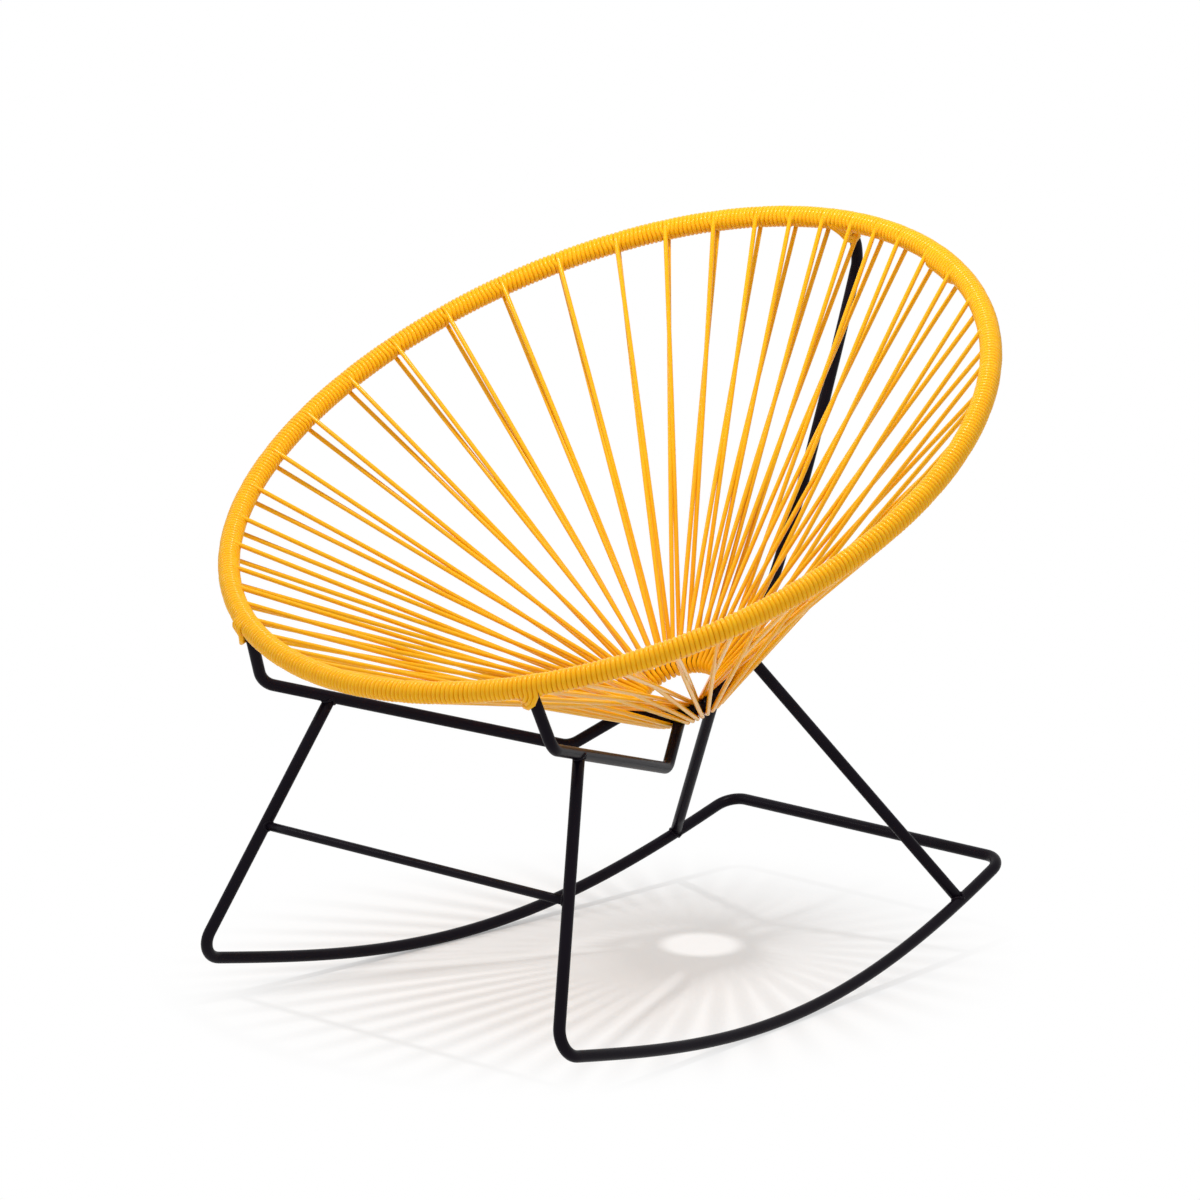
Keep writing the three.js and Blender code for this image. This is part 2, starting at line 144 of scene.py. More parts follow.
def rounded_path(corners: Sequence[Rows], bend_radius: float, steps: int) -> Rows:
    """A centre line through corners, each bent to one radius.

    Args:
        corners: the ends and the sharp corners between them.
        bend_radius: radius of each bend.
        steps: how many pieces each bend is drawn with.

    Returns:
        The rows of the centre line.
    """
    rows = [corners[0]]
    for before, corner, after in zip(corners, corners[1:], corners[2:]):
        back = unit(before - corner)
        ahead = unit(after - corner)
        turn = math.pi - math.acos(float(np.clip(np.dot(back, ahead), -1, 1)))
        if turn < SLIGHT_TURN:
            rows.append(corner)
            continue
        reach = bend_radius * math.tan(turn / 2)
        centre = corner + unit(back + ahead) * bend_radius / math.cos(turn / 2)
        arm = corner + back * reach - centre
        axis = unit(np.cross(arm, corner + ahead * reach - centre))
        rows.extend(turned(arm, axis, np.linspace(0, turn, steps + 1)) + centre)
    rows.append(corners[-1])
    return np.array(rows)


def filled_path(rows: Rows, longest: float) -> Rows:
    """Adds places along the straight runs of a centre line.

    Args:
        rows: the centre line.
        longest: no step is longer than this.

    Returns:
        The centre line with more rows.
    """
    filled = [rows[:1]]
    for start, end in zip(rows, rows[1:]):
        count = max(1, math.ceil(np.linalg.norm(end - start) / longest))
        shares = np.arange(1, count + 1)[:, None] / count
        filled.append(start + (end - start) * shares)
    return np.concatenate(filled)


def flowing_path(places: Rows, steps: int) -> Rows:
    """A smooth curve through places, without loops where they crowd.

    Args:
        places: the places that the curve passes.
        steps: how many pieces it is drawn with between two places.

    Returns:
        The rows of the curve.
    """
    padded = np.concatenate([[2 * places[0] - places[1]], places, [2 * places[-1] - places[-2]]])
    rows = []
    for p0, p1, p2, p3 in zip(padded, padded[1:], padded[2:], padded[3:]):
        d0, d1, d2 = (math.sqrt(np.linalg.norm(b - a)) for a, b in ((p0, p1), (p1, p2), (p2, p3)))
        leave = ((p1 - p0) / d0 - (p2 - p0) / (d0 + d1) + (p2 - p1) / d1) * d1
        reach = ((p2 - p1) / d1 - (p3 - p1) / (d1 + d2) + (p3 - p2) / d2) * d1
        for t in np.arange(steps) / steps:
            rows.append(
                p1 + leave * t + (3 * (p2 - p1) - 2 * leave - reach) * t**2
                + (2 * (p1 - p2) + leave + reach) * t**3
            )
    rows.append(places[-1])
    return np.array(rows)


def mirrored(rows: Rows) -> Rows:
    """The same rows on the sitter's other side."""
    return rows * np.array([-1.0, 1.0, 1.0])


# Swept tubes

@dataclass
class Sweep:
    """A round section carried along a centre line.

    The section keeps as still as it can, so that it doesn't twist on the way.
    """

    rows: Rows
    radii: Rows | float
    sides: int
    closed: bool = False
    marks: dict[str, Rows] = field(default_factory=dict)

    def headings(self) -> Rows:
        """The direction of the centre line at each row."""
        if self.closed:
            return unit(np.roll(self.rows, -1, axis=0) - np.roll(self.rows, 1, axis=0))
        steps = unit(np.diff(self.rows, axis=0))
        middle = unit(steps[1:] + steps[:-1])
        return np.concatenate([steps[:1], middle, steps[-1:]])

    def sections(self) -> Rows:
        """The corners of every section, one block for each row."""
        along = self.headings()
        helper = UP if abs(along[0][2]) < NEARLY_ALONG else SIDE
        first = np.empty_like(self.rows)
        carried = square_to(helper, along[0])
        for i, direction in enumerate(along):
            carried = square_to(carried, direction)
            first[i] = carried
        spin = FULL_TURN * (np.arange(self.sides) + 0.5) / self.sides
        if self.closed:
            last = square_to(first[-1], along[0])
            across = float(np.dot(np.cross(last, first[0]), along[0]))
            slip = math.atan2(across, float(np.dot(last, first[0])))
            first = np.array([
                turned(row, way, slip * i / len(first)) for i, (row, way) in enumerate(zip(first, along))
            ])
        second = np.cross(along, first)
        radii = np.broadcast_to(np.asarray(self.radii, dtype=float), (len(self.rows),))
        ring = first[:, None] * np.cos(spin)[:, None] + second[:, None] * np.sin(spin)[:, None]
        return self.rows[:, None] + ring * radii[:, None, None]

    def faces(self) -> list[list[int]]:
        """The four-sided faces of the wall, and the two flat ends of an open sweep."""
        count = len(self.rows)
        strips = count if self.closed else count - 1
        near = np.arange(strips)[:, None] * self.sides
        far = ((np.arange(strips) + 1) % count)[:, None] * self.sides
        side = np.arange(self.sides)
        following = (side + 1) % self.sides
        quads = np.stack([near + side, near + following, far + following, far + side], axis=-1)
        faces = quads.reshape(-1, 4).tolist()
        if not self.closed:
            faces.append(side[::-1].tolist())
            faces.append((side + (count - 1) * self.sides).tolist())
        return faces

    def columns(self) -> dict[str, Rows]:
        """The marks of the rows, repeated for each corner."""
        return {name: np.repeat(value, self.sides) for name, value in self.marks.items()}


@dataclass
class Workshop:
    """Makes pieces from sweeps, hangs them on the root body and hides the solids that they stand for."""

    shift: Rows
    made: list[bpy.types.Object] = field(default_factory=list)

    def piece(
        self,
        name: str,
        sweeps: Sequence[Sweep],
        material: bpy.types.Material,
        nodes: Sequence[str],
    ) -> None:
        """Makes one piece from one or more swept bodies.

        Args:
            name: name of the piece.
            sweeps: its bodies, in millimetres.
            material: its finish.
            nodes: the solids that it stands for.
        """
        corners: list[Rows] = []
        faces: list[list[int]] = []
        marks: dict[str, list[Rows]] = {}
        offset = 0
        for sweep in sweeps:
            block = sweep.sections().reshape(-1, 3)
            corners.append(block)
            faces.extend([[index + offset for index in face] for face in sweep.faces()])
            offset += len(block)
            for key, value in sweep.columns().items():
                marks.setdefault(key, []).append(value)
        placed = (np.concatenate(corners) + self.shift) * MILLIMETRE
        mesh = bpy.data.meshes.new(name)
        mesh.from_pydata(placed, [], faces)
        mesh.validate()
        mesh.polygons.foreach_set("use_smooth", [len(face) == 4 for face in faces])
        for key, value in marks.items():
            mesh.attributes.new(key, "FLOAT", "POINT").data.foreach_set("value", np.concatenate(value))
        mesh.update()
        obj = bpy.data.objects.new(name, mesh)
        bpy.context.scene.collection.objects.link(obj)
        obj.data.materials.append(material)
        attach(obj, ROOT_BODY)
        if nodes:
            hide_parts(*nodes)
        self.made.append(obj)
        log.info("%s: %d corners for %s", name, len(placed), ", ".join(nodes) or "no solid")


# Shader sums

@dataclass(frozen=True)
class Wire:
    """The output of a node, which takes part in sums like a number."""

    board: "Board"
    socket: bpy.types.NodeSocket

    def _sum(self, operation: str, first: Any, second: Any) -> "Wire":
        """Adds one Math node for a sum of two values."""
        return self.board.node("ShaderNodeMath", {"operation": operation}, {0: first, 1: second})

    def __add__(self, other: Any) -> "Wire":
        """self + other."""
        return self._sum("ADD", self, other)

    __radd__ = __add__

    def __sub__(self, other: Any) -> "Wire":
        """self - other."""
        return self._sum("SUBTRACT", self, other)

    def __rsub__(self, other: Any) -> "Wire":
        """other - self."""
        return self._sum("SUBTRACT", other, self)

    def __mul__(self, other: Any) -> "Wire":
        """self * other."""
        return self._sum("MULTIPLY", self, other)

    __rmul__ = __mul__


@dataclass(frozen=True)
class Board:
    """The node tree of one finish."""

    tree: bpy.types.NodeTree

    def node(
        self,
        kind: str,
        settings: dict[str, Any] | None = None,
        sockets: dict[str | int, Any] | None = None,
        output: str | int = 0,
    ) -> Wire:
        """Adds a node.

        Args:
            kind: the type of the node.
            settings: its settings, set before its sockets.
            sockets: values or wires for its inputs, by name or number.
            output: which output the wire leaves from.

        Returns:
            The wire from that output.
        """
        made = self.tree.nodes.new(kind)
        for name, value in (settings or {}).items():
            setattr(made, name, value)
        for name, value in (sockets or {}).items():
            if isinstance(value, Wire):
                self.tree.links.new(value.socket, made.inputs[name])
            else:
                made.inputs[name].default_value = value
        return Wire(self, made.outputs[output] if made.outputs else None)

    def spots(self, scale: float, detail: float) -> Wire:
        """Cloudy noise fixed to the piece.

        Args:
            scale: how many clouds there are to a metre.
            detail: how many finer layers it has.

        Returns:
            A value from 0 to 1.
        """
        place = self.node("ShaderNodeTexCoord", output="Object")
        return self.node("ShaderNodeTexNoise", {}, {"Vector": place, "Scale": scale, "Detail": detail})

    def mark(self, name: str) -> Wire:
        """The value that the piece's mesh carries under a name."""
        return self.node("ShaderNodeAttribute", {"attribute_name": name}, output="Fac")

    def between(self, share: Wire, first: Sequence[float], second: Sequence[float]) -> Wire:
        """A colour between two colours.

        Args:
            share: 0 gives the first colour and 1 the second.
            first: one colour.
            second: the other colour.

        Returns:
            The mixed colour.
        """
        mixed = {"Factor": share, 6: (*first, 1), 7: (*second, 1)}
        return self.node("ShaderNodeMix", {"data_type": "RGBA"}, mixed, output=2)

    def relief(self, height: Wire, strength: float, depth: float) -> Wire:
        """A bumpy surface.

        Args:
            height: the height of the bumps, from 0 to 1.
            strength: how much of them shows.
            depth: their depth in metres.

        Returns:
            The surface's directions.
        """
        sockets = {"Strength": strength, "Distance": depth, "Height": height}
        return self.node("ShaderNodeBump", {}, sockets)


def fresh_material(name: str) -> tuple[bpy.types.Material, Board]:
    """An empty material and its board.

    Args:
        name: name of the material.

    Returns:
        The material and the board of its nodes.
    """
    material = bpy.data.materials.new(name)
    material.use_nodes = True
    material.node_tree.nodes.clear()
    return material, Board(material.node_tree)


@dataclass(frozen=True)
class CordVinyl:
    """Glossy soft plastic cord, a little paler or deeper from turn to turn."""

    light: Triple = (0.96, 0.50, 0.010)
    deep: Triple = (0.93, 0.44, 0.006)
    batch_share: float = 0.55
    cloud_share: float = 0.5
    least_share: float = -0.05
    clouds: float = 45.0
    grains: float = 900.0
    ripples: float = 420.0
    roughness: float = 0.2
    scuff: float = 0.03
    refraction: float = 1.48
    glow: float = 0.2
    glow_reach: Triple = (1.0, 0.45, 0.05)
    glow_scale: float = 0.0022
    gloss: float = 0.18
    ripple_strength: float = 0.6
    ripple_depth: float = 0.00002

    def make(self) -> bpy.types.Material:
        """The material."""
        material, board = fresh_material("cord_vinyl")
        cloud = board.spots(self.clouds, 2)
        grain = board.spots(self.grains, 3)
        share = self.batch_share * board.mark("batch") + self.cloud_share * cloud + self.least_share
        skin = board.node("ShaderNodeBsdfPrincipled", {}, {
            "Base Color": board.between(share, self.light, self.deep),
            "Roughness": self.roughness + self.scuff * (grain - 0.5),
            "IOR": self.refraction,
            "Specular IOR Level": self.gloss,
            "Subsurface Weight": self.glow,
            "Subsurface Radius": self.glow_reach,
            "Subsurface Scale": self.glow_scale,
            "Normal": board.relief(board.spots(self.ripples, 2), self.ripple_strength, self.ripple_depth),
        })
        board.node("ShaderNodeOutputMaterial", {}, {"Surface": skin})
        return material


@dataclass(frozen=True)
class BlackPaint:
    """Baked black paint on steel, half gloss, with a faint orange peel."""

    body: Triple = (0.0050, 0.0030, 0.0062)
    dust: Triple = (0.0085, 0.0062, 0.0110)
    clouds: float = 14.0
    specks: float = 1600.0
    peels: float = 650.0
    dust_share: float = 1.6
    roughness: float = 0.33
    rough_spread: float = 0.1
    gloss: float = 0.06
    peel_strength: float = 0.5
    peel_depth: float = 0.00005

    def make(self) -> bpy.types.Material:
        """The material."""
        material, board = fresh_material("black_paint")
        cloud = board.spots(self.clouds, 3)
        share = cloud * board.spots(self.specks, 2) * self.dust_share
        skin = board.node("ShaderNodeBsdfPrincipled", {}, {
            "Base Color": board.between(share, self.body, self.dust),
            "Roughness": self.roughness + self.rough_spread * (cloud - 0.5),
            "Specular IOR Level": self.gloss,
            "Normal": board.relief(board.spots(self.peels, 1), self.peel_strength, self.peel_depth),
        })
        board.node("ShaderNodeOutputMaterial", {}, {"Surface": skin})
        return material


# The chair

@dataclass(frozen=True)
class Weld:
    """The bead where one tube ends on another."""

    end: Rows
    way: Rows
    radius: float
    along: Rows
    onto: Rows
    onto_radius: float = TUBE_RADIUS
    bead: float = 1.7
    bead_sides: int = 8
    ripples: int = 19
    ripple_depth: float = 0.1
    steps: int = 114

    def sweep(self) -> Sweep:
        """The bead, along the line where the ending tube's wall meets the other tube."""
        spin = np.linspace(0, FULL_TURN, self.steps, endpoint=False)
        helper = UP if abs(self.way[2]) < NEARLY_ALONG else BACK
        wall = self.end + turned(square_to(helper, self.way), self.way, spin) * self.radius
        gap = wall - self.onto
        gap = gap - dot(gap, self.along) * self.along
        run = self.way - dot(self.way, self.along) * self.along
        middle = dot(gap, run) / dot(run, run)
        rest = (dot(gap, gap) - self.onto_radius**2) / dot(run, run)
        out = np.sqrt(np.clip(middle**2 - rest, 0, None)) - middle
        ripple = 1 + self.ripple_depth * np.cos(spin * self.ripples)
        return Sweep(wall + self.way * out, self.bead * ripple, self.bead_sides, closed=True)


@dataclass(frozen=True)
class Hoop:
    """Centre line of a round hoop, which may be a little oval and bent like a saddle."""

    radius: float
    height: float
    setback: float
    tilt: float
    oval: Couple = (0.0, 0.0)
    saddle: Couple = (0.0, 0.0)

    @property
    def side(self) -> Rows:
        """Toward the sitter's left."""
        return SIDE

    @property
    def back(self) -> Rows:
        """Toward the back, in the plane of the hoop."""
        return np.array([0.0, math.cos(math.radians(self.tilt)), math.sin(math.radians(self.tilt))])

    @property
    def up(self) -> Rows:
        """Square to the plane of the hoop."""
        return np.array([0.0, -math.sin(math.radians(self.tilt)), math.cos(math.radians(self.tilt))])

    @property
    def centre(self) -> Rows:
        """The middle of the hoop."""
        return np.array([0.0, self.setback, self.height])

    def point(self, angle: Rows | float) -> Rows:
        """Places on the centre line, one row for each angle."""
        spin = np.asarray(angle, dtype=float)[..., None]
        wave2 = np.cos(2 * spin)
        wave3 = np.cos(3 * spin)
        out = self.radius * (1 + self.oval[0] * wave2 + self.oval[1] * wave3)
        lift = self.radius * (self.saddle[0] * wave2 + self.saddle[1] * wave3)
        return (
            self.centre + self.side * out * np.sin(spin) + self.back * out * np.cos(spin) + self.up * lift
        )

    def heading(self, angle: Rows | float) -> Rows:
        """The direction of growing angle on the centre line."""
        step = 0.001
        return unit(self.point(np.asarray(angle) + step) - self.point(np.asarray(angle) - step))

    def section(self, angle: Rows | float) -> tuple[Rows, Rows]:
        """The up and the outward direction of the section at each angle."""
        along = self.heading(angle)
        up = square_to(np.broadcast_to(self.up, along.shape), along)
        return up, np.cross(up, along)


@dataclass(frozen=True)
class TubeStock:
    """The steel tube and how it is bent."""

    radius: float = TUBE_RADIUS
    stretcher_radius: float = 4.75
    bend_radius: float = 25.0
    sides: int = 28
    bend_steps: int = 12
    longest_step: float = 40.0
    hoop_steps: int = 240
    hoop_sides: int = 16
    hoop_play: float = 0.05
    ring_stride: int = 3


@dataclass(frozen=True)
class Base:
    """Places of the base: seat bars, back bar, base tube, struts and stretcher.

    The direction of a curved tube is read a little ahead: way_step along the runner, as a
    share of it, and way_rows up the back bar.
    """

    rim: Hoop
    ring: Hoop
    stock: TubeStock = TubeStock()
    seat_bar_rim_angle: float = 151.5
    seat_bar_ring_angle: float = 140.0
    neck: Triple = (207.6, -303.0, 351.2)
    knee: Triple = (70.3, 19.4, 246.9)
    back_head_angle: float = -43.0
    back_head_reach: float = 13.0
    back_shares: tuple[Couple, ...] = (
        (0.211, 0.032), (0.446, 0.139), (0.603, 0.288), (0.709, 0.396),
        (1.083, 0.882), (1.098, 0.908), (1.081, 0.963),
    )
    leg_run_share: float = 0.22
    front_foot: Couple = (260.1, 353.1)
    rear_foot_half_width: float = 198.7
    runner_length: float = 778.3
    runner_bow: float = 6.3
    runner_rise: tuple[float, ...] = (0.0608, 0.0158, 0.0006, 0.0329, 0.1077)
    runner_steps: int = 56
    runner_probes: int = 1001
    bend_clearance: float = 2.0
    back_steps: int = 14
    strut_bite: float = 2.0
    way_step: float = 0.01
    way_rows: int = 3
    stretcher_share: float = 0.49
    strut_foot_share: float = 0.892
    strut_flank: Triple = (7.18, -1.44, -1.75)

    def _rise(self, share: Rows) -> Rows:
        """Height of the runner in shares of its length."""
        last = len(self.runner_rise) - 1
        total = np.zeros_like(share)
        for i, level in enumerate(self.runner_rise):
            product = np.full_like(share, level)
            for k in range(last + 1):
                if k != i:
                    product = product * (share * last - k) / (i - k)
            total += product
        return total

    def runner(self, share: Rows) -> Rows:
        """Places on the left runner, from its front to its rear corner."""
        share = np.asarray(share, dtype=float)
        least = self._rise(np.linspace(0, 1, self.runner_probes)).min()
        return np.stack([
            self.front_foot[0] + (self.rear_foot_half_width - self.front_foot[0]) * share
            + self.runner_bow * 4 * share * (1 - share),
            -self.front_foot[1] + self.runner_length * share,
            self.stock.radius + self.runner_length * (self._rise(share) - least),
        ], axis=-1)

    @property
    def leg_joint(self) -> Rows:
        """Where the left leg meets its seat bar."""
        neck = np.array(self.neck)
        return neck + (np.array(self.knee) - neck) * self.leg_run_share

    def base_tube(self) -> Rows:
        """The one length of tube that makes legs, runners and crossbar."""
        stock = self.stock
        run = self.runner(np.linspace(0, 1, self.runner_steps + 2))
        rear_middle = run[-1] * np.array([0.0, 1.0, 1.0])
        front = rounded_path([self.leg_joint, run[0], run[1]], stock.bend_radius, stock.bend_steps)
        rear = rounded_path([run[-2], run[-1], rear_middle], stock.bend_radius, stock.bend_steps)
        half = np.concatenate([front[:-1], self._between_bends(run, front[-2], rear[1]), rear[1:]])
        return filled_path(np.concatenate([half, mirrored(half)[::-1][1:]]), stock.longest_step)

    def _between_bends(self, run: Rows, start: Rows, end: Rows) -> Rows:
        """The places of the runner that lie clear of both bends."""
        past_start = run[:, 1] > start[1] + self.bend_clearance
        return run[past_start & (run[:, 1] < end[1] - self.bend_clearance)]

    def seat_bar(self) -> Rows:
        """The left seat bar, from the rim down to the knee and on to the seat ring."""
        corners = [
            self.rim.point(math.radians(self.seat_bar_rim_angle)),
            np.array(self.neck),
            np.array(self.knee),
            self.ring.point(math.radians(self.seat_bar_ring_angle)),
        ]
        stock = self.stock
        return filled_path(rounded_path(corners, stock.bend_radius, stock.bend_steps), stock.longest_step)

    def _back_place(self, back: float, up: float) -> Rows:
        """A place in shares of the way from the seat ring to the back bar's head."""
        foot = self.ring.point(0.0)
        head = self.back_head
        return np.array([0.0, foot[1] + back * (head[1] - foot[1]), foot[2] + up * (head[2] - foot[2])])

    @property
    def back_head(self) -> Rows:
        """The head of the back bar, behind and under the rim hoop."""
        angle = math.radians(self.back_head_angle)
        return self.rim.point(0.0) + np.array([0.0, math.cos(angle), math.sin(angle)]) * self.back_head_reach

    def back_bar(self) -> Rows:
        """The back bar, from the seat ring up behind the bowl."""
        places = [self.ring.point(0.0), *(self._back_place(*share) for share in self.back_shares)]
        return flowing_path(np.array([*places, self.back_head]), self.back_steps)

    @property
    def stretcher_joint(self) -> Rows:
        """Where the stretcher meets the left leg."""
        return self.leg_joint + (self.runner(0.0) - self.leg_joint) * self.stretcher_share

    def stretcher(self) -> Rows:
        """The thin bar between the front legs."""
        joint = self.stretcher_joint
        return filled_path(np.array([joint, mirrored(joint)]), self.stock.longest_step)

    def strut(self) -> Rows:
        """The left rear strut, from the runner to the flank of the back bar."""
        foot = self.runner(self.strut_foot_share)
        top = self._back_place(*self.back_shares[0]) + np.array(self.strut_flank)
        end = top + unit(top - foot) * self.strut_bite
        return filled_path(np.array([foot, end]), self.stock.longest_step)

    def welds(self) -> list[Weld]:
        """Every joint of the base with a bead round it."""
        radius = self.stock.radius
        bar = unit(np.array(self.knee) - np.array(self.neck))
        leg = unit(self.runner(0.0) - self.leg_joint)
        cross = self.stretcher_joint
        strut = self.strut()
        strut_way = unit(strut[-1] - strut[0])
        runner_way = unit(self.runner(self.strut_foot_share + self.way_step) - strut[0])
        back = self.back_bar()
        flank = self._back_place(*self.back_shares[0])
        nearest = int(np.argmin(np.linalg.norm(back - flank, axis=1)))
        back_way = unit(back[nearest + 1] - back[nearest - 1])
        turn = math.radians(self.seat_bar_ring_angle)
        seat = self.ring.point(turn)
        one_side = [
            (self.leg_joint, leg, radius, bar, self.leg_joint),
            (cross, mirrored(SIDE), self.stock.stretcher_radius, leg, cross),
            (strut[0], strut_way, radius, runner_way, strut[0]),
            (strut[-1], -strut_way, radius, back_way, flank),
            (seat, unit(np.array(self.knee) - seat), radius, self.ring.heading(turn), seat),
        ]
        found = []
        for end, way, reach, along, onto in one_side:
            found.append(Weld(end, way, reach, along, onto))
            found.append(Weld(mirrored(end), mirrored(way), reach, mirrored(along), mirrored(onto)))
        start = back[0]
        found.append(Weld(start, unit(back[self.way_rows] - start), radius, self.ring.heading(0.0), start))
        return found

    def build(self, shop: Workshop, paint: bpy.types.Material) -> None:
        """Makes every piece of the base.

        Args:
            shop: makes the pieces.
            paint: the paint of the steel.
        """
        stock = self.stock
        seat_bar = self.seat_bar()
        strut = self.strut()
        tubes: list[tuple[str, Rows, float, list[str]]] = [
            ("base_tube", self.base_tube(), stock.radius, [
                "front_leg_left", "runner_left", "rear_crossbar", "runner_right", "front_leg_right",
            ]),
            ("seat_bar_tube_left", seat_bar, stock.radius, ["seat_bar_left"]),
            ("seat_bar_tube_right", mirrored(seat_bar), stock.radius, ["seat_bar_right"]),
            ("back_bar_tube", self.back_bar(), stock.radius, ["back_bar"]),
            ("strut_tube_left", strut, stock.radius, ["rear_strut_left"]),
            ("strut_tube_right", mirrored(strut), stock.radius, ["rear_strut_right"]),
            ("stretcher_bar", self.stretcher(), stock.stretcher_radius, ["front_stretcher"]),
        ]
        for name, rows, radius, nodes in tubes:
            shop.piece(name, [Sweep(rows, radius, stock.sides)], paint, nodes)
        spin = np.linspace(0, FULL_TURN, stock.hoop_steps, endpoint=False)
        hoop = Sweep(self.rim.point(spin), stock.radius - stock.hoop_play, stock.hoop_sides, closed=True)
        shop.piece("rim_hoop_tube", [hoop], paint, ["rim_hoop"])
        ring = Sweep(self.ring.point(spin[::stock.ring_stride]), stock.radius, stock.sides, closed=True)
        shop.piece("seat_ring_tube", [ring], paint, ["seat_ring"])
        beads = [weld.sweep() for weld in self.welds()]
        shop.piece("weld_beads", beads, paint, [])


@dataclass
class Pair:
    """Two strands between the rim and the seat ring, in radians round each."""

    rim: float
    ring: float
    under: float


def past_angle(angle: Rows, degrees: float, rim_radius: float) -> Rows:
    """How far rows of the wrap lie past a place of the rim, counted on their own lap.

    Args:
        angle: rim angle of each row.
        degrees: rim angle of the place.
        rim_radius: radius of the rim.

    Returns:
        The distances along the rim.
    """
    place = math.radians(degrees)
    place += FULL_TURN * round((float(angle.mean()) - place) / FULL_TURN)
    return (angle - place) * rim_radius


@dataclass(frozen=True)
class Pile:
    """Turns of the wrap crowded to one side of a bar's end, where they lie on their neighbours.

    A turn that would pass over the bar is drawn beside it, toward growing rim angle, and
    lies the higher the farther it has come. The aside window is in degrees round the tube
    from beneath it: where the move begins, is full, begins to fade and ends. A turn is
    lifted fully between the two angles of the bar, and runs straight from there to the tube.
    """

    angle: float
    aside_window: Window
    lifted: Couple
    rise: float = 0.72
    least_rise: float = 1.0
    hub: float = 8.8
    layer: float = 0.0
    layer_window: Window = (-30.0, 20.0, 95.0, 150.0)
    half_width: float = 8.8
    beside: float = 9.4
    stagger: float = 2.6
    spacing: float = 4.9
    blend: float = 40.0

    def _taut(self, local: Rows, height: float) -> Rows:
        """The lift of a turn that is drawn straight to the tube on both sides of the bar."""
        low, high = self.lifted
        outside = np.radians(np.maximum(np.maximum(low - local, local - high), 0))
        reach = math.acos(self.hub / (self.hub + height))
        return self.hub / np.cos(np.clip(reach - outside, 0, reach)) - self.hub

    def moves(self, angle: Rows, spin: Rows, rim_radius: float) -> tuple[Rows, Rows]:
        """The moves of a run of turns.

        Args:
            angle: rim angle of each row.
            spin: turn round the tube of each row, growing along the cord.
            rim_radius: radius of the rim.

        Returns:
            How far each row moves along the rim, and how far it is lifted.
        """
        aside = np.zeros_like(spin)
        lift = np.zeros_like(spin)
        along = past_angle(angle, self.angle, rim_radius)
        for lap in range(math.floor(spin[0] / FULL_TURN), math.ceil(spin[-1] / FULL_TURN) + 1):
            turn = lap * FULL_TURN
            held = min(max(turn, spin[0]), spin[-1])
            place = float(np.interp(held, spin, along)) - (turn - held) / FULL_TURN * self.spacing
            if abs(place) > self.half_width:
                continue
            rank = int((self.half_width - place) // self.spacing)
            goal = self.beside + self.stagger * (rank % 2)
            local = np.degrees(spin - turn)
            aside += (goal - place) * bump_between(local, *self.aside_window)
            under = self.layer * bump_between(local, *self.layer_window)
            height = (self.beside + self.least_rise - place) * self.rise
            lift += np.maximum(self._taut(local, height), under)
        into = smooth_step(np.degrees(spin - spin[0]) / self.blend)
        out_of = smooth_step(np.degrees(spin[-1] - spin) / self.blend)
        return aside * into * out_of, lift * into * out_of


@dataclass(frozen=True)
class TuckedEnd:
    """Where the end of the cord lies under the wrap, which swells over it."""

    angle: float
    half_length: float = 33.0
    height: float = 4.6
    rising: float = 9.0
    falling: float = 16.0
    side_turn: float = 318.0
    side_reach: float = 80.0
    side_level: float = 1.25

    def moves(self, angle: Rows, spin: Rows, rim_radius: float) -> tuple[Rows, Rows]:
        """The moves of a run of turns.

        Args:
            angle: rim angle of each row.
            spin: turn round the tube of each row.
            rim_radius: radius of the rim.

        Returns:
            How far each row moves along the rim, and how far it is lifted.
        """
        along = past_angle(angle, self.angle, rim_radius)
        half = self.half_length
        hill = bump_between(along, -half, self.rising - half, half - self.falling, half)
        turn = (spin - math.radians(self.side_turn) + math.pi) % FULL_TURN - math.pi
        side = smooth_step(self.side_level - np.abs(turn) / math.radians(self.side_reach))
        return np.zeros_like(spin), self.height * hill * side


@dataclass(frozen=True)
class Stretch:
    """A stretch of the cord: its centre line, and its batch mark and radius in each row.

    The middle is a row beneath the rim, where two pieces of the cord meet unseen.
    """

    rows: Rows
    batch: Rows
    radii: Rows
    middle: int = 0

    def part(self, start: int, stop: int | None = None) -> "Stretch":
        """The rows from start up to stop."""
        return Stretch(self.rows[start:stop], self.batch[start:stop], self.radii[start:stop])


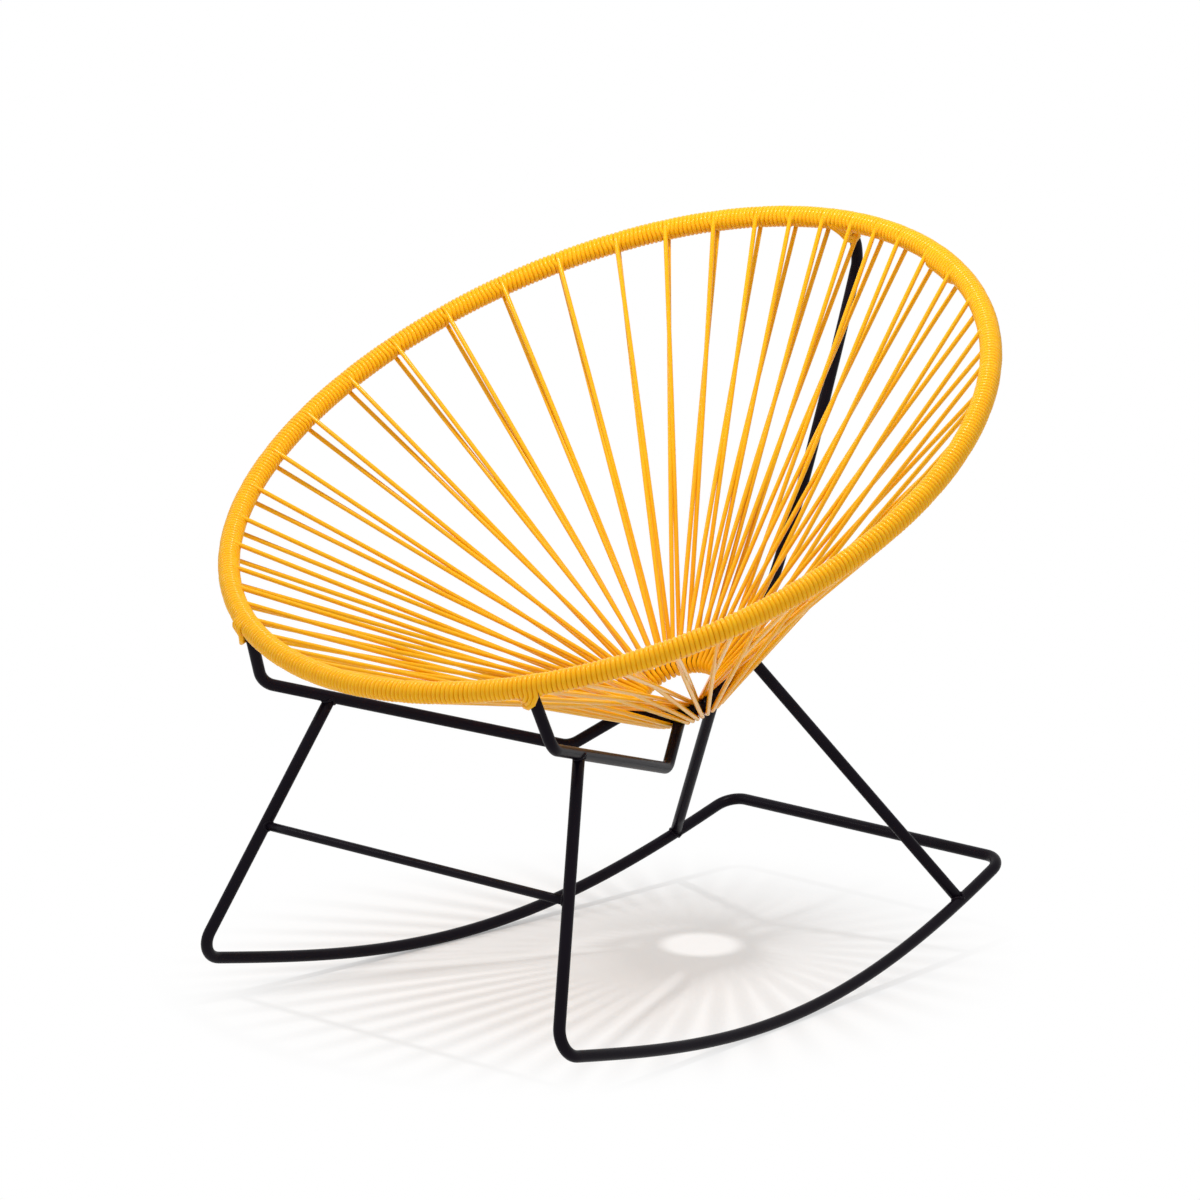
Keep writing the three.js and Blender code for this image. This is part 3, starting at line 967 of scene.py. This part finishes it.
@dataclass
class Lacing:
    """The cord: wrapped round the rim, and laced from the rim to the seat ring in pairs.

    Offsets, slacks and gaps are millimetres. The inner window is degrees round the tube, and
    the other windows are shares of a run of turns. The lists hold the rim angle of each pair.
    """

    rim: Hoop
    ring: Hoop
    base: Base
    piles: tuple[Pile | TuckedEnd, ...] = ()
    radius: float = 2.55
    wrap_thickness: float = 0.1
    tube_radius: float = TUBE_RADIUS
    wrap_slack: float = 0.04
    swell: float = 0.2
    swell_window: Window = (0.0, 0.2, 0.8, 1.0)
    press_ease: float = 90.0
    loop_slack: float = 0.28
    bar_gap: float = 0.1
    crowd_gap: float = 0.3
    pitch: float = 4.9
    rim_offset: float = 1.25
    ring_offset: float = 2.2
    ring_twist: float = 6.5
    ring_crowd: float = 5.5
    bow: float = 0.85
    ease: float = 70.0
    inner_window: Window = (225.0, 262.0, 308.0, 342.0)
    inner_middle: float = 190.0
    lean: float = 0.07
    lean_window: Window = (0.0, 0.1, 0.9, 1.0)
    unevenness: float = 0.04
    batch_middle: float = 0.5
    turn_batches: float = 0.22
    strand_batches: float = 0.2
    turn_steps: int = 22
    sides: int = 10
    strand_steps: int = 9
    bend_steps: int = 12
    bend_haste: float = 1.6
    pairs_per_span: int = 4
    seed: int = 7
    angles_right: tuple[float, ...] = (
        2.2, 8.2, 14.4, 21.6, 29.6, 37.6, 47, 56.4, 66.2, 75.9, 85.5, 95.4,
        105.1, 114.1, 122.1, 129.2, 135.9, 142, 146.9, 152.8, 158.8, 165, 171.2, 177,
    )
    angles_left: tuple[float, ...] = (
        3.5, 8.7, 14.3, 21.7, 29.5, 38.6, 47.9, 57.6, 67.9, 77.2, 86.6, 96,
        105.6, 114.8, 123.2, 130.9, 138.3, 143.8, 148.7, 154.2, 160, 165.6, 171.5, 177.2,
    )

    def __post_init__(self) -> None:
        """Lays out the pairs and starts the hand's small unevenness."""
        self.hand = np.random.default_rng(self.seed)
        self.pairs = self._pairs()

    def _pairs(self) -> list[Pair]:
        """The pairs in order round the rim, parted round the ends of the bars."""
        step = 360 / (len(self.angles_right) + len(self.angles_left))

        def ring_angle(turn: float) -> float:
            """The place of a pair on the seat ring."""
            even = step * turn - self.ring_twist
            return math.radians((even + self.ring_crowd * math.sin(math.radians(even))) % 360)

        left = [(math.radians(a), ring_angle(i + 0.5)) for i, a in enumerate(self.angles_left)]
        right = [(math.radians(360 - a), ring_angle(-i - 0.5)) for i, a in enumerate(self.angles_right)]
        pairs = [Pair(rim, ring, ring) for rim, ring in left + right[::-1]]
        reach = self.ring.radius + self.loop_radius / 2
        half = (self.tube_radius + self.radius + self.bar_gap) / reach
        crowd = (2 * self.radius + self.crowd_gap) / reach
        bar = self._bar_angle()
        for angle in (0.0, bar, FULL_TURN - bar, FULL_TURN):
            after = sorted((p for p in pairs if p.ring >= angle), key=lambda p: p.ring)
            before = sorted((p for p in pairs if p.ring < angle), key=lambda p: -p.ring)
            for i, pair in enumerate(after):
                pair.under = max(pair.under, angle + half + i * crowd)
            for i, pair in enumerate(before):
                pair.under = min(pair.under, angle - half - i * crowd)
        return pairs

    def _bar_angle(self) -> float:
        """Where the left seat bar stands under the seat ring, as an angle."""
        end = self.ring.point(math.radians(self.base.seat_bar_ring_angle))
        place = end + unit(np.array(self.base.knee) - end) * self.loop_radius - self.ring.centre
        return math.atan2(float(place @ self.ring.side), float(place @ self.ring.back))

    @property
    def wrap_radius(self) -> float:
        """From the middle of the hoop's tube to the middle of the cord."""
        return self.tube_radius + self.radius + self.wrap_slack

    @property
    def loop_radius(self) -> float:
        """From the middle of the ring's tube to the middle of the cord."""
        return self.tube_radius + self.radius + self.loop_slack

    def _pair(self, index: int) -> Pair:
        """A pair by its number, which may run past a full turn."""
        lap, number = divmod(index, len(self.pairs))
        pair = self.pairs[number]
        return Pair(pair.rim + FULL_TURN * lap, pair.ring, pair.under)

    def _touch(self, rim_angle: float, ring_angle: float, way: int) -> tuple[Rows, Rows]:
        """Where a strand leaves the rim's wrap and meets the ring's loop.

        Args:
            rim_angle: place on the rim.
            ring_angle: place on the seat ring.
            way: 1 for a strand that leaves over the rim, -1 for one from under it.

        Returns:
            The outward direction at the rim and the outward direction at the ring.
        """
        rim_hub = self.rim.point(rim_angle)
        ring_hub = self.ring.point(ring_angle)
        rim_along = self.rim.heading(rim_angle)
        ring_along = self.ring.heading(ring_angle)
        line = unit(ring_hub - rim_hub)
        above = np.cross(line, rim_along)
        above = unit(above) * (way if float(above @ self.rim.up) > 0 else -way)
        lean = math.asin((self.wrap_radius + self.loop_radius) / np.linalg.norm(ring_hub - rim_hub))
        out = above * math.cos(lean) + line * math.sin(lean)
        return square_to(out, rim_along), square_to(-out, ring_along)

    def _section_angle(self, rim_angle: float, out: Rows) -> float:
        """The turn of a direction round the rim's tube, 0 under it and 90 degrees outside it."""
        up, outward = self.rim.section(rim_angle)
        return math.atan2(float(out @ outward), -float(out @ up)) % FULL_TURN

    def _strand(self, pair: Pair, way: int) -> tuple[float, Rows, Rows]:
        """Where one strand of a pair stands.

        Args:
            pair: the pair of strands.
            way: 1 for the strand that leaves over the rim, -1 for the one from under it.

        Returns:
            Its rim angle, and its outward directions at the rim and at the ring.
        """
        angle = pair.rim + way * self.rim_offset / self.rim.radius
        return angle, *self._touch(angle, pair.under if way > 0 else pair.ring, way)

    def _leaving(self, index: int) -> float:
        """Section angle where a pair's upper strand leaves the wrap."""
        angle, out, _ = self._strand(self._pair(index), 1)
        return self._section_angle(angle, out)

    def _coming(self, index: int) -> float:
        """Section angle where a pair's lower strand comes back to the rim, about 0."""
        angle, out, _ = self._strand(self._pair(index), -1)
        found = self._section_angle(angle, out)
        return found - FULL_TURN if found > math.pi else found

    def wrap(self, index: int) -> Stretch:
        """The turns round the rim from one pair to the one before it.

        The turns are even on the outside of the rim. On the inside there is one turn less,
        because the cord is away in the strands there, and the turns spread over the room.

        Args:
            index: the pair that the turns start from.

        Returns:
            The turns, in which the soft cord is pressed wider.
        """
        spin_start = self._coming(index)
        spin_end = self._leaving(index - 1)
        from_rim = self._pair(index).rim
        to_rim = self._pair(index - 1).rim
        arc = (from_rim - to_rim) * self.rim.radius
        turns = max(1, round(arc / self.pitch) - 1)
        step = arc / (turns + 1)
        spin_all = spin_end + FULL_TURN * turns - spin_start
        count = round(spin_all / FULL_TURN * self.turn_steps)
        share = np.linspace(0, 1, count + 1)
        spin = spin_start + spin_all * share
        laps = (spin - math.pi / 2) / FULL_TURN
        knots = self.hand.normal(0, 1, turns + 3)
        stations = np.linspace(0, 1, len(knots))
        lean = np.interp(share, stations, knots) * self.lean * bump_between(share, *self.lean_window)
        place = arc - step / 2 - step * laps + lean
        first_gap = arc - self.rim_offset - place[0]
        last_gap = self.rim_offset - place[-1]
        place = place + first_gap * (1 - smooth_step(np.degrees(spin - spin_start) / self.ease))
        place = place + last_gap * (1 - smooth_step(np.degrees(spin[-1] - spin) / self.ease))
        for lap in range(turns):
            even = arc * (1 - (lap + 0.5) / turns)
            moved = even - (arc - step * (lap + 0.5 + self.inner_middle / 360))
            place = place + moved * bump_between(np.degrees(spin) - 360 * lap, *self.inner_window)
        radius = self.wrap_radius + self.swell * bump_between(share, *self.swell_window)
        radius = radius + self.unevenness * np.interp(share, stations, knots[::-1])
        angle = to_rim + place / self.rim.radius
        for pile in self.piles:
            aside, lift = pile.moves(angle, spin, self.rim.radius)
            angle = angle + aside / self.rim.radius
            radius = radius + lift
        up, outward = self.rim.section(angle)
        spoke = -up * np.cos(spin)[:, None] + outward * np.sin(spin)[:, None]
        shades = np.interp(share * turns, np.arange(len(knots)), np.roll(knots, 1))
        batch = np.clip(self.batch_middle + self.turn_batches * shades, 0, 1)
        edge = np.minimum(spin - spin_start, spin[-1] - spin)
        width = self.radius + self.wrap_thickness * smooth_step(np.degrees(edge) / self.press_ease)
        middle = int(np.argmin(np.abs(spin - FULL_TURN * (turns // 2))))
        return Stretch(self.rim.point(angle) + spoke * radius[:, None], batch, width, middle)

    def loop(self, index: int) -> Stretch:
        """The two strands of a pair and their loop round the seat ring.

        Args:
            index: number of the pair.

        Returns:
            The strands and the loop between them.
        """
        pair = self._pair(index)
        leave, rim_up, ring_under = self._strand(pair, 1)
        come, rim_under, ring_over = self._strand(pair, -1)
        start = self.rim.point(leave) + rim_up * self.wrap_radius
        end = self.rim.point(come) + rim_under * self.wrap_radius
        bend = self._ring_bend(pair, ring_under, ring_over)
        shares = (np.arange(1, self.strand_steps + 1) / (self.strand_steps + 1))[:, None]
        aside = self.rim.heading(pair.rim) * self.bow * np.sin(math.pi * shares)
        down = start + (bend[0] - start) * shares + aside
        home = bend[-1] + (end - bend[-1]) * shares - aside
        rows = np.concatenate([down, bend, home])
        batch = self.batch_middle + self.strand_batches * float(self.hand.normal())
        batch = min(max(batch, 0.0), 1.0)
        return Stretch(rows, np.full(len(rows), batch), np.full(len(rows), self.radius))

    def _ring_bend(self, pair: Pair, under: Rows, over: Rows) -> Rows:
        """The half turn round the inner side of the seat ring.

        Args:
            pair: the pair of strands.
            under: outward direction where the cord meets the ring from below.
            over: outward direction where it leaves above.

        Returns:
            The rows of the half turn.
        """
        along = unit(self.ring.heading(pair.under) + self.ring.heading(pair.ring))
        inward = unit(self.ring.centre - self.ring.point(pair.ring))
        first = square_to(under, along)
        last = square_to(over, along)
        turn = math.acos(float(np.clip(first @ last, -1, 1)))
        axis = along if float(turned(first, along, turn / 2) @ inward) > 0 else -along
        if float(turned(first, axis, turn) @ last) < NEARLY_ALONG:
            turn = FULL_TURN - turn
        rows = []
        for share in np.linspace(0, 1, self.bend_steps + 1):
            ease = float(smooth_step(min(share * self.bend_haste, 1)))
            angle = pair.under + (pair.ring - pair.under) * ease
            offset = self.ring_offset * (1 - 2 * share)
            hub = self.ring.point(angle) + self.ring.heading(angle) * offset
            rows.append(hub + turned(first, axis, turn * share) * self.loop_radius)
        return np.array(rows)

    def _run(self, first: int) -> Iterator[Stretch]:
        """The parts of one span in the order that the cord runs."""
        for index in range(first + self.pairs_per_span - 1, first - 1, -1):
            yield self.loops[index % len(self.pairs)]
            yield self.wraps[index % len(self.pairs)]

    def build(self, shop: Workshop, vinyl: bpy.types.Material) -> float:
        """Makes the cord, one piece for each span.

        Args:
            shop: makes the pieces.
            vinyl: the finish of the cord.

        Returns:
            The length of the cord in metres.
        """
        count = len(self.pairs)
        self.loops = [self.loop(i) for i in range(count)]
        self.wraps = [self.wrap(i) for i in range(count)]
        spans = count // self.pairs_per_span
        total = 0.0
        for number in range(spans):
            first = self.pairs_per_span * number - self.pairs_per_span // 2
            lead = self.wraps[(first + self.pairs_per_span) % count]
            parts = [lead.part(lead.middle), *self._run(first)]
            parts[-1] = parts[-1].part(0, parts[-1].middle + 1)
            rows = np.concatenate([part.rows for part in parts])
            batch = np.concatenate([part.batch for part in parts])
            radii = np.concatenate([part.radii for part in parts])
            total += float(np.linalg.norm(np.diff(rows, axis=0), axis=1).sum())
            sweep = Sweep(rows, radii, self.sides, marks={"batch": batch})
            name = f"cord_lacing_{number + 1:02d}"
            shop.piece(name, [sweep], vinyl, [f"cord_span_{number + 1:02d}"])
        return total * MILLIMETRE


# The studio

@dataclass(frozen=True)
class Studio:
    """White sweep, soft light from all round and one lamp nearly overhead."""

    camera_place: Triple = (4.12548, -4.47351, 1.81020)
    camera_turn: Triple = (77.14, 0.0, 42.74)
    lens: float = 178.01
    sensor: float = 36.0
    sky: float = 0.64
    lamp_power: float = 58.0
    lamp_radius: float = 0.05
    lamp_place: Triple = (0.146, -0.251, 1.935)
    side_power: float = 10.0
    side_radius: float = 0.12
    side_place: Triple = (-1.5, -1.0, 1.35)
    floor_grey: float = 0.95
    floor_veil: float = 0.25
    floor_clear: Couple = (0.35, 1.05)
    floor_size: float = 6.0
    floor_middle: Couple = (-0.07, 0.03)
    floor_spread: Couple = (0.45, 0.49)

    def camera(self, shift: Rows) -> None:
        """Sets the camera where the photographer stood."""
        data = bpy.data.cameras.new("studio_camera")
        data.lens = self.lens
        data.sensor_width = self.sensor
        data.clip_end = 100
        camera = bpy.data.objects.new("studio_camera", data)
        camera.location = Vector(self.camera_place) + Vector(shift * MILLIMETRE)
        camera.rotation_euler = [math.radians(angle) for angle in self.camera_turn]
        bpy.context.scene.collection.objects.link(camera)
        bpy.context.scene.camera = camera

    @staticmethod
    def _lamp(name: str, place: Sequence[float], power: float, radius: float) -> None:
        """Hangs one lamp.

        Args:
            name: name of the lamp.
            place: where it hangs, in metres.
            power: its power in watts.
            radius: radius of its glowing ball in metres.
        """
        data = bpy.data.lights.new(name, "POINT")
        data.energy = power
        data.shadow_soft_size = radius
        lamp = bpy.data.objects.new(name, data)
        lamp.location = place
        bpy.context.scene.collection.objects.link(lamp)

    @staticmethod
    def _seen(board: Board) -> Wire:
        """1 for rays from the camera, in reflections and through glass, else 0."""
        rays = [board.node("ShaderNodeLightPath", output=name) for name in (
            "Is Camera Ray", "Is Glossy Ray", "Is Transmission Ray",
        )]
        most = board.node("ShaderNodeMath", {"operation": "MAXIMUM"}, {0: rays[0], 1: rays[1]})
        return board.node("ShaderNodeMath", {"operation": "MAXIMUM"}, {0: most, 1: rays[2]})

    def world(self) -> None:
        """Even soft light, seen white by the camera and in reflections."""
        world = bpy.data.worlds.new("studio_air")
        world.use_nodes = True
        world.node_tree.nodes.clear()
        bpy.context.scene.world = world
        board = Board(world.node_tree)
        strength = self.sky + (1 - self.sky) * self._seen(board)
        air = board.node("ShaderNodeBackground", {}, {"Color": (1, 1, 1, 1), "Strength": strength})
        board.node("ShaderNodeOutputWorld", {}, {"Surface": air})

    def floor(self) -> None:
        """A pale floor that melts into the white round it."""
        half = self.floor_size
        corners = [(-half, -half, 0), (half, -half, 0), (half, half, 0), (-half, half, 0)]
        mesh = bpy.data.meshes.new("studio_floor")
        mesh.from_pydata(corners, [], [(0, 1, 2, 3)])
        obj = bpy.data.objects.new("studio_floor", mesh)
        bpy.context.scene.collection.objects.link(obj)
        material, board = fresh_material("floor_paper")
        place = board.node("ShaderNodeTexCoord", output="Object")
        offset = board.node(
            "ShaderNodeVectorMath", {"operation": "SUBTRACT"}, {0: place, 1: (*self.floor_middle, 0)}
        )
        squeezed = board.node(
            "ShaderNodeVectorMath", {"operation": "DIVIDE"}, {0: offset, 1: (*self.floor_spread, 1)}
        )
        distance = board.node("ShaderNodeVectorMath", {"operation": "LENGTH"}, {0: squeezed}, output="Value")
        near, far = self.floor_clear
        fade = board.node("ShaderNodeMapRange", {"interpolation_type": "SMOOTHSTEP"}, {
            "Value": distance, "From Min": near, "From Max": far, "To Min": self.floor_veil, "To Max": 1.0,
        })
        grey = self.floor_grey
        paper = board.node("ShaderNodeBsdfDiffuse", {}, {"Color": (grey, grey, grey, 1)})
        white = board.node("ShaderNodeEmission", {}, {"Color": (1, 1, 1, 1), "Strength": 1.0})
        surface = board.node("ShaderNodeMixShader", {}, {0: fade * self._seen(board), 1: paper, 2: white})
        board.node("ShaderNodeOutputMaterial", {}, {"Surface": surface})
        mesh.materials.append(material)

    def build(self, shift: Rows) -> None:
        """Sets up camera, light and floor."""
        self.camera(shift)
        self._lamp("overhead_lamp", self.lamp_place, self.lamp_power, self.lamp_radius)
        self._lamp("side_lamp", self.side_place, self.side_power, self.side_radius)
        self.world()
        self.floor()
        bpy.context.scene.view_settings.view_transform = "Standard"


def chair_shift() -> Rows:
    """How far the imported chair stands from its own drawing, in millimetres."""
    drawn_back = CROSSBAR_BACK + TUBE_RADIUS
    _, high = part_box("rear_crossbar")
    return np.array([0.0, high[1] / MILLIMETRE - drawn_back, 0.0])


def main() -> None:
    """Builds the chair and the studio in order."""
    logging.basicConfig(level=logging.INFO, format="%(name)s: %(message)s")
    shift = chair_shift()
    log.info("drawing shift %s", shift)
    rim = Hoop(
        radius=418.2, height=585.3, setback=0.0, tilt=27.06,
        oval=(0.00433, 0.00093), saddle=(0.00968, 0.00215),
    )
    ring = Hoop(radius=48.5, height=302.3, setback=117.5, tilt=27.0)
    studio = Studio()
    studio.build(shift)
    shop = Workshop(shift)
    paint = BlackPaint().make()
    vinyl = CordVinyl().make()
    base = Base(rim, ring)
    base.build(shop, paint)
    front = (-100.0, -20.0, 0.0, 64.0)
    piles = (
        Pile(base.seat_bar_rim_angle, front, lifted=(-10.0, 38.0)),
        Pile(360 - base.seat_bar_rim_angle, front, lifted=(-10.0, 50.0), layer=3.8),
        Pile(
            0.0, (-90.0, 25.0, 40.0, 95.0), lifted=(-4.0, 32.0),
            rise=1.25, half_width=11.2, beside=9.0, stagger=0.0,
        ),
        TuckedEnd(26.0),
    )
    length = Lacing(rim, ring, base, piles).build(shop, vinyl)
    log.info("cord length %.1f m in %d pieces", length, len(shop.made))


if __name__ == "__main__":
    main()
